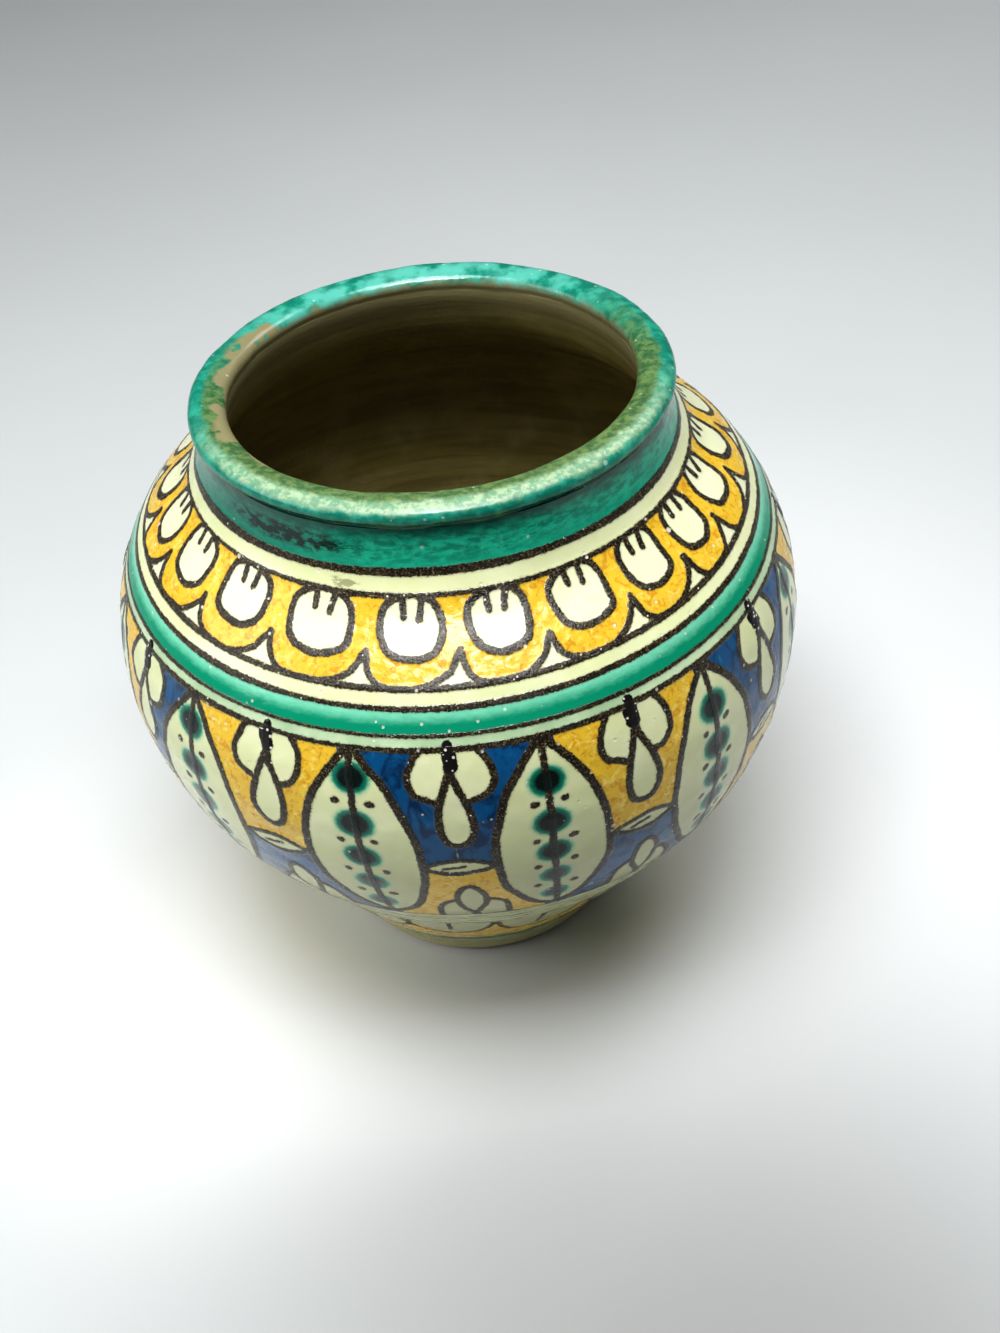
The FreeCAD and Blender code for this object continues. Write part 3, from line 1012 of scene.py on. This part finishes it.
BURST_BUBBLE = (0.75, 0.72, 0.62)
CLAY = (0.50, 0.36, 0.24)
CLAY_RED = (0.40, 0.27, 0.17)
CLAY_SPECK = (0.24, 0.16, 0.11)

# Where painted shade darkens the left of the collar, in metres.
NECK_SHADE_PLACE = (-0.065, -0.035, 0.178)


def cream_ground(graph, first=CREAM, second=CREAM_PALE):
    """Opaque cream with faint clouds and a few dark specks."""
    colour = graph.blend(graph.noise(14, 4, 0.6), 0.35, 0.7, first, second)
    speckled = graph.step(graph.noise(9), 0.55, 0.7)
    specks = graph.step(graph.cells(3.4), 0.10, 0.05)
    return graph.mix(graph.times(specks, speckled), colour, CREAM_SPECK)


def ochre_over(graph, colour):
    """Ochre brushed over the ground: golden, pale where it is thin and amber where it has pooled."""
    thin = graph.noise(3.4, 4, 0.65, (1, 1, 0.8), 0.8)
    body = graph.blend(thin, 0.48, 0.32, OCHRE, OCHRE_PALE)
    pooled = graph.noise(2.4, 4, 0.6, warp=1.2)
    body = graph.blend(pooled, 0.50, 0.66, body, OCHRE_DEEP, 0.85)
    return graph.mix(graph.edge("ochre", 0.30, 0.8), colour, body)


def blue_over(graph, colour):
    """Cobalt with darker pools and lighter brush streaks."""
    pools = graph.noise(4.5, 4, 0.6, (1, 1, 0.6), 0.8)
    body = graph.blend(pools, 0.36, 0.55, COBALT_DARK, COBALT)
    streaks = graph.noise(3.0, 5, 0.65, (1, 1, 0.5))
    body = graph.blend(streaks, 0.58, 0.80, body, COBALT_LIGHT)
    return graph.mix(graph.edge("blue", 0.35), colour, body)


def green_reach(graph):
    """How far outside a green dab a place is, raggedly, in millimetres."""
    return graph.times_plus(graph.grit(), 0.8, graph.layer("green"))


def green_over(graph, colour):
    """Copper green that has bled out from a dab."""
    reach = green_reach(graph)
    colour = graph.blend(reach, 3.2, 1.3, colour, DAB_HALO, 0.75)
    return graph.blend(reach, 2.3, 1.1, colour, DAB_GREEN)


def dab_over(graph, colour):
    """The near-black middle of a green dab, which also covers the stem."""
    return graph.blend(green_reach(graph), 1.3, -0.3, colour, DAB_BLACK)


def ink_over(graph, colour):
    """Dark manganese line with sandy specks in it, burst bubbles and a thin brown margin."""
    tone = graph.blend(graph.noise(0.9, 2, 0.7), 0.45, 0.70, INK, INK_BROWN)
    tone = graph.blend(graph.noise(0.45, 1), 0.60, 0.70, tone, INK_SPECK, 0.42)
    blistered = graph.step(graph.noise(7), 0.48, 0.58)
    bubbles = graph.step(graph.cells(2.4), 0.15, 0.08)
    tone = graph.mix(graph.times(bubbles, blistered), tone, INK_BUBBLE)
    margin = graph.times(graph.edge("ink", 0.45, grow=0.18), 0.45)
    colour = graph.mix(margin, colour, INK_BROWN)
    return graph.mix(graph.edge("ink", 0.16, 0.9), colour, tone)


def bud_over(graph, colour):
    """A thick black dab full of pale burst bubbles."""
    tone = graph.blend(graph.cells(1.8), 0.26, 0.17, BUD_BLACK, BUD_BUBBLE)
    return graph.mix(graph.edge("bud", 0.2, 0.9), colour, tone)


def smudged(graph, colour, tone=SCORCHED, strength=0.92):
    """Scorched patches over a colour, streaked round the vase."""
    streaks = graph.step(graph.noise(3.0, 5, 0.7, (1, 1, 2.2)), 0.34, 0.62)
    broken = graph.times(graph.layer("smudge"), streaks)
    return graph.blend(broken, 0.12, 0.50, colour, tone, strength)


def glaze_finish(graph, colour, shine=0.13, peel=1.0, dull=0.0, grit=0.0, burst=0.55):
    """Glassy glaze: fine orange peel, rough ink and small burst bubbles."""
    ink = graph.edge("ink", 0.2)
    small = graph.step(graph.cells(5.5), 0.105, 0.06)
    large = graph.step(graph.cells(19), 0.048, 0.034)
    pits = graph.math("MAXIMUM", small, large)
    colour = graph.mix(graph.times(pits, burst), colour, BURST_BUBBLE)
    peeled = graph.times(graph.noise(1.1, 3, 0.6), 0.35 * peel)
    gritty = graph.times(graph.noise(0.5, 2, 0.7), graph.times_plus(ink, 1.2, grit))
    height = graph.times_plus(pits, -1.0, graph.math("ADD", peeled, gritty))
    rough = graph.step(graph.noise(7, 3), 0.35, 0.7, shine, shine + 0.10)
    rough = graph.times_plus(ink, 0.12, rough)
    rough = graph.times_plus(dull, 0.28, rough)
    return graph.finish(colour, rough, height, 0.10)


def cream_glaze():
    """Plain cream, darkened by painted shade towards the foot."""
    graph = Graph("cream_glaze")
    # Painted shade: the cream darkens over the lowest few centimetres.
    colour = graph.blend(graph.height(), 26, 8, cream_ground(graph), CREAM_FOOT_SHADE, 0.6)
    colour = ink_over(graph, green_over(graph, colour))
    return glaze_finish(graph, smudged(graph, colour, CREAM_SMUDGE, 0.6))


def mint_glaze():
    """Pale mint, with the tips of the buds on it."""
    graph = Graph("mint_glaze")
    colour = cream_ground(graph, MINT, MINT_PALE)
    return glaze_finish(graph, bud_over(graph, ink_over(graph, colour)))


def painted_glaze():
    """The painted coat, whose cream is darkened with painted shade on the underside of the belly."""
    graph = Graph("painted_glaze")
    # Painted shade: below a ragged line under the belly's widest part, the cream darkens.
    uneven = graph.times_plus(graph.noise(16, 3), 16.0, graph.height())
    colour = graph.blend(uneven, 119, 92, cream_ground(graph), CREAM_SHADED, 0.85)
    for layer_over in (ochre_over, blue_over, green_over, ink_over, dab_over, bud_over):
        colour = layer_over(graph, colour)
    return glaze_finish(graph, colour)


def ochre_glaze():
    """Thick ochre that has boiled, with cream ovals left in it."""
    graph = Graph("ochre_glaze")
    colour = ochre_over(graph, cream_ground(graph, CREAM_PALE, CREAM_UNDER_OCHRE))
    return glaze_finish(graph, ink_over(graph, colour), 0.10, 2.6, grit=0.8, burst=0.8)


def green_stripe_glaze():
    """Pale turquoise at the top of the stripe, running down into deep emerald."""
    graph = Graph("green_stripe_glaze")
    clouds = graph.noise(3, 4, 0.65, (1, 1, 2.5))
    across = graph.times_plus(clouds, 0.35, graph.layer("across"))
    colour = graph.blend(across, 0.22, 0.80, EMERALD_LIGHT, EMERALD_DEEP)
    colour = graph.blend(across, 0.80, 0.12, colour, EMERALD_PALE, 0.85)
    colour = graph.blend(across, 0.98, 1.22, colour, EMERALD_DARK, 0.75)
    return glaze_finish(graph, ink_over(graph, colour))


def neck_green_glaze():
    """Deep green on the collar, streaked round the neck, with painted shade under the lip and on its left
    and painted light low down.
    """
    graph = Graph("neck_green_glaze")
    streaks = graph.noise(4, 5, 0.65, (1, 1, 3.0))
    colour = graph.blend(streaks, 0.38, 0.62, TEAL, EMERALD)
    flecks = graph.noise(1.6, 5, 0.7, (1, 1, 0.7))
    colour = graph.blend(flecks, 0.50, 0.74, colour, TEAL_LIGHT, 0.7)
    across = graph.times_plus(graph.noise(5, 3, 0.6, (1, 1, 2)), 0.3, graph.layer("across"))
    # Painted light: the collar lightens towards its foot, where it flares out.
    colour = graph.blend(across, 0.72, 1.1, colour, TEAL_PAINTED_LIGHT, 0.6)
    # Painted shade on the left of the collar.
    colour = graph.blend(graph.away(NECK_SHADE_PLACE), 0.055, 0.015, colour, TEAL_PAINTED_SHADE, 0.65)
    # Painted shade under the lip, which the scorched patches also darken towards.
    shade_under_lip = graph.step(across, 0.58, 0.16, 0.0, 0.85)
    dark = graph.math("MULTIPLY_ADD", graph.layer("smudge"), 0.55, shade_under_lip, clamp=True)
    colour = smudged(graph, graph.mix(dark, colour, SHADE_AND_SCORCH_TEAL))
    return glaze_finish(graph, ink_over(graph, colour), 0.12, 1.6, burst=0.3)


def lip_green_glaze():
    """Green over the lip: turquoise outside, worn pale and olive over the top, bare at the inner edge, with
    a painted highlight at the back and painted shade under the roll.
    """
    graph = Graph("lip_green_glaze")
    roll = graph.times_plus(graph.noise(6, 4, 0.65), 0.24, graph.layer("roll"))
    roll = graph.math("SUBTRACT", roll, 0.12)
    front = graph.layer("front")
    colour = graph.blend(graph.noise(4.5, 5, 0.6), 0.38, 0.66, LIP_DEEP, LIP_GREEN)
    # Painted highlight: patches of paler turquoise over the back of the lip.
    at_back = graph.step(front, -0.40, -0.90, 0.0, 0.8)
    glassy = graph.step(graph.noise(9, 4), 0.36, 0.58)
    colour = graph.mix(graph.times(at_back, glassy), colour, LIP_PAINTED_HIGHLIGHT)
    # Painted shade on the underside of the roll.
    colour = graph.blend(roll, 0.20, 0.02, colour, SHADE_AND_SCORCH_TEAL, 0.9)
    worn = graph.blend(graph.noise(2.2, 6, 0.7), 0.42, 0.58, WORN_GREEN, WORN_PALE)
    worn_here = graph.times(graph.step(roll, 0.24, 0.36), graph.step(front, 0.05, 0.75))
    colour = graph.mix(worn_here, colour, worn)
    olive = graph.blend(graph.noise(2.6, 6, 0.7), 0.40, 0.62, OLIVE_DARK, OLIVE)
    olive_here = graph.times(graph.step(roll, 0.42, 0.56, 0.0, 0.92), graph.step(front, -0.75, 0.10))
    colour = graph.mix(olive_here, colour, olive)
    at_left = graph.step(graph.layer("side"), -0.45, -0.80)
    bare_here = graph.times(at_left, graph.step(graph.noise(14, 3, 0.5), 0.48, 0.58))
    colour = graph.blend(graph.times_plus(bare_here, 0.30, roll), 0.78, 0.94, colour, INNER_EDGE)
    dull = graph.math("MAXIMUM", worn_here, olive_here)
    return glaze_finish(graph, smudged(graph, colour), 0.16, 1.2, dull, burst=0.3)


def liner_glaze():
    """Thin brownish liner: paler just under the lip, ringed down the wall and dusty in places. The paler top
    is partly the bare edge's colour and partly painted light coming in at the mouth.
    """
    graph = Graph("liner_glaze")
    rings = graph.noise(6, 4, 0.6, (0.12, 0.12, 1.6))
    colour = graph.blend(rings, 0.35, 0.65, LINER, LINER_DARK)
    colour = graph.blend(graph.noise(18, 4), 0.45, 0.7, colour, LINER_DUST, 0.5)
    # Paler towards the mouth: partly the bare edge's colour, partly painted light.
    colour = graph.blend(graph.height(), 168, 183, colour, INNER_EDGE, 0.9)
    height = graph.times_plus(graph.noise(1.2, 3), 0.3, rings)
    return graph.finish(colour, 0.42, height, 0.25)


def bare_clay():
    """Unglazed earthenware, sandy and dull."""
    graph = Graph("bare_clay")
    colour = graph.blend(graph.noise(6, 5, 0.65), 0.35, 0.65, CLAY, CLAY_RED)
    colour = graph.blend(graph.cells(2.2), 0.16, 0.08, colour, CLAY_SPECK)
    return graph.finish(colour, 0.85, graph.noise(0.9, 4, 0.7), 0.20)


# ---------- pieces

def outer_coats():
    """The painted coats of the outside. The belly comes before the mint stripe, which its buds reach."""
    cream = cream_glaze()
    painted = painted_glaze()
    painted_coat("neck_glaze", "green_glaze", neck_green_glaze(), neck_marks, 0.55)
    painted_coat("collar_stripe_glaze", "cream_glaze", cream, stripe_marks, 0.55)
    painted_coat("scallop_band_glaze", "ochre_glaze", ochre_glaze(), scallop_paint, 0.5)
    painted_coat("cream_stripe_glaze", "cream_glaze", cream, no_paint, 0.5)
    painted_coat("green_band_glaze", "green_glaze", green_stripe_glaze(), no_paint, 0.5)
    painted_coat("belly_panel_glaze", "painted_glaze", painted, belly_paint, 0.6, 3)
    painted_coat("mint_stripe_glaze", "mint_glaze", mint_glaze(), bud_tips, 0.45)
    painted_coat("line_bundle_glaze", "cream_glaze", cream, no_paint, 0.6)
    painted_coat("petal_band_glaze", "painted_glaze", painted, petal_paint, 0.7)
    painted_coat("foot_glaze", "cream_glaze", cream, foot_paint, 0.8)


def lip_coat():
    """The glaze over the roll of the lip, knocked and uneven."""
    low_outside = span("lip_glaze")[0]
    low_inside = span("inner_glaze")[1]
    outer = resample(lip_path(0.0, low_outside, low_inside), 0.5 * QUICK_STEP)
    inner = resample(lip_path(GLAZE, low_outside, low_inside), 1.5)
    points = spin(outer, ALL_COLUMNS)
    displaced = points + normals(outer, ALL_COLUMNS) * waves(points, LIP_WAVES)[..., None]
    azimuth = np.radians(column_azimuths(ALL_COLUMNS))
    shape = (len(outer), COLUMNS)
    layers = {
        "ink": np.full(shape, FAR),
        "roll": by_row(np.linspace(0, 1, len(outer))),
        "front": np.broadcast_to(np.cos(azimuth), shape),
        "side": np.broadcast_to(np.sin(azimuth), shape),
        "smudge": np.zeros(shape),
    }
    piece = coat("lip_glaze_look", inner, layers, displaced, ALL_COLUMNS)
    place_piece(piece, "green_glaze", lip_green_glaze(), "lip_glaze")


def turned(name, section):
    """A solid of bare clay turned from a closed section (radius, height)."""
    columns = ALL_COLUMNS[::4]
    faces = grid_faces(len(section), len(columns), True, True)
    piece = new_piece(name, spin(section, columns).reshape(-1, 3), faces)
    finish_surface(piece, weld=True)
    return piece


def finger_rings(points):
    """Rings the potter's fingers left inside, fading out in the middle of the floor and near the lip."""
    radius = np.hypot(points[..., 0], points[..., 1])
    fade = smoothstep(8, 30, radius) * smoothstep(184.5, 176, points[..., 2])
    wave = grain(points * [0.06, 0.06, 1.0], 5.5, 12) * 0.28 * fade
    inward = -points * [1, 1, 0] / np.maximum(radius, 1)[..., None]
    return inward * wave[..., None]


def inner_coat():
    """The liner glaze over the whole hollow."""
    top = span("inner_glaze")[1]
    face = throat(hollow_path())
    face = resample(face[face[:, 1] <= top + TINY], 1.0 * QUICK_STEP)
    back = hollow_path(GLAZE)
    back = resample(back[back[:, 1] <= top + TINY], BACK_SPACING)[::-1]
    columns = ALL_COLUMNS[::2]
    face_points = spin(face, columns)
    face_points = face_points + finger_rings(face_points)
    grid = np.concatenate([face_points, spin(back, columns)], axis=0)
    faces = grid_faces(len(grid), len(columns), True, False)
    piece = new_piece("inner_glaze_look", grid.reshape(-1, 3), faces)
    finish_surface(piece, weld=True)
    place_piece(piece, "liner_glaze", liner_glaze(), "inner_glaze")


def clay_pieces():
    """The thrown body, the foot ring, the collar and the lip's roll, all bare under their glaze."""
    clay = bare_clay()
    joint = span("foot_ring")[1]
    collar_low = span("neck_collar")[0]
    lip_low = span("rolled_lip")[0]
    outside = outside_path(GLAZE)
    hollow = hollow_path(GLAZE)
    under_collar = resample(hollow[hollow[:, 1] <= collar_low], CLAY_SPACING)[::-1]
    recess = [(0.0, RECESS_DEPTH), (RECESS_RADIUS, RECESS_DEPTH), (RECESS_RADIUS, joint)]
    flank = between(outside, joint, collar_low, CLAY_SPACING)
    collar_outside = between(outside, collar_low, NECK_HEIGHT, CLAY_SPACING)
    collar_inside = between(hollow, collar_low, NECK_HEIGHT, CLAY_SPACING)[::-1]
    sections = {
        "thrown_body": np.vstack([flank, under_collar, recess]),
        "foot_ring": np.vstack([between(outside, 0.0, joint, 1.0), recess[2:], [(RECESS_RADIUS, 0.0)]]),
        "neck_collar": np.vstack([collar_outside, collar_inside]),
        "rolled_lip": lip_path(GLAZE, lip_low, lip_low)[::12],
    }
    for node, section in sections.items():
        place_piece(turned(node + "_look", section), "bare_clay", clay, node)


# ---------- stage: metres and watts

SENSOR = 0.036
LENS = 0.0486122
CAMERA_PLACE = (0.0, -0.42057, 0.45228)
# In degrees about X, Y and Z.
CAMERA_TURN = (48.4307, 4.4066, -5.2855)
CAMERA_NEAREST = 0.01


def camera():
    """The viewpoint: above and in front, turned slightly clockwise."""
    lens_data = bpy.data.cameras.new("view")
    lens_data.sensor_fit = "VERTICAL"
    lens_data.sensor_height = SENSOR / MM
    lens_data.lens = LENS / MM
    lens_data.clip_start = CAMERA_NEAREST
    eye = bpy.data.objects.new("view", lens_data)
    bpy.context.scene.collection.objects.link(eye)
    turn = Euler([math.radians(angle) for angle in CAMERA_TURN]).to_matrix().to_4x4()
    eye.matrix_world = Matrix.Translation(CAMERA_PLACE) @ turn
    bpy.context.scene.camera = eye
    bpy.context.scene.view_settings.view_transform = "Standard"
    bpy.context.scene.view_settings.look = "Medium High Contrast"


SHEET_GREY = (0.60, 0.625, 0.63)
SHEET_PALE = (0.63, 0.655, 0.66)
# Painted light and shade on the sheet: pale patches beside the pot and a grey painted shadow in front of it.
# Each gives the middle of the patch, its reach and its colour.
SHEET_LIGHT_AND_SHADE = (
    ((-0.075, -0.03, 0.0), 0.15, (0.93, 0.95, 0.95)),
    ((0.13, 0.02, 0.0), 0.24, (0.78, 0.80, 0.81)),
    ((0.04, -0.22, 0.0), 0.24, (0.30, 0.305, 0.305)),
)
CARD_BLACK = (0.03, 0.03, 0.03)


def floor():
    """A plain pale sheet to stand on, unevenly white, with painted light and shade round the pot."""
    bpy.ops.mesh.primitive_plane_add(size=6)
    sheet = bpy.context.object
    sheet.name = "floor"
    graph = Graph("pale_paper")
    colour = graph.blend(graph.noise(300, 3), 0.3, 0.7, SHEET_GREY, SHEET_PALE)
    for middle, reach, tone in SHEET_LIGHT_AND_SHADE:
        colour = graph.blend(graph.away(middle), reach, 0.02, colour, tone)
    sheet.data.materials.append(graph.finish(colour, 0.7, graph.noise(2, 3), 0.02))


def dark_card():
    """A dark card in front of the sheet that stands in for shade there, seen only where the glaze reflects
    it.
    """
    bpy.ops.mesh.primitive_plane_add(size=1, location=(0.0, -0.62, 0.002))
    card = bpy.context.object
    card.name = "dark_card"
    card.scale = (1.0, 0.7, 1.0)
    graph = Graph("dark_card")
    card.data.materials.append(graph.finish((*CARD_BLACK, 1.0), 0.9, graph.noise(5), 0.01))
    card.visible_camera = False
    card.visible_shadow = False
    card.visible_diffuse = False


ROOM_LIGHT = (0.95, 0.97, 1.0, 1.0)
ROOM_STRENGTH = 0.09
# Each lamp's name, place, aim, width and depth, and power. The glint is only seen in reflections.
LAMPS = (
    ("key", (0.0, -0.19, 0.85), (0, 0, 0.08), (0.55, 0.35), 6.7),
    ("left_fill", (-0.30, -0.16, 0.85), (0, 0, 0.08), (0.4, 0.4), 0.8),
    ("right_fill", (0.58, 0.46, 0.95), (0, 0, 0.08), (0.4, 0.4), 3.1),
    ("window", (-1.2, -0.15, 0.75), (0, 0, 0.08), (0.8, 0.8), 6.6),
    ("glint", (-0.04, -0.56, 1.0), (0, 0, 0.15), (0.60, 0.14), 12.0),
)


def area_light(name, place, target, size, power):
    """A rectangular lamp aimed at a point."""
    data = bpy.data.lights.new(name, "AREA")
    data.shape = "RECTANGLE"
    data.size, data.size_y = size
    data.energy = power
    lamp = bpy.data.objects.new(name, data)
    bpy.context.scene.collection.objects.link(lamp)
    lamp.visible_diffuse = name != "glint"
    direction = Vector(target) - Vector(place)
    turn = direction.to_track_quat("-Z", "Y").to_matrix().to_4x4()
    lamp.matrix_world = Matrix.Translation(place) @ turn


def lights():
    """A dim room and its lamps."""
    world = bpy.data.worlds.new("soft_room")
    world.use_nodes = True
    background = world.node_tree.nodes["Background"]
    background.inputs["Color"].default_value = ROOM_LIGHT
    background.inputs["Strength"].default_value = ROOM_STRENGTH
    bpy.context.scene.world = world
    for lamp in LAMPS:
        area_light(*lamp)


outer_coats()
lip_coat()
inner_coat()
clay_pieces()
camera()
floor()
dark_card()
lights()
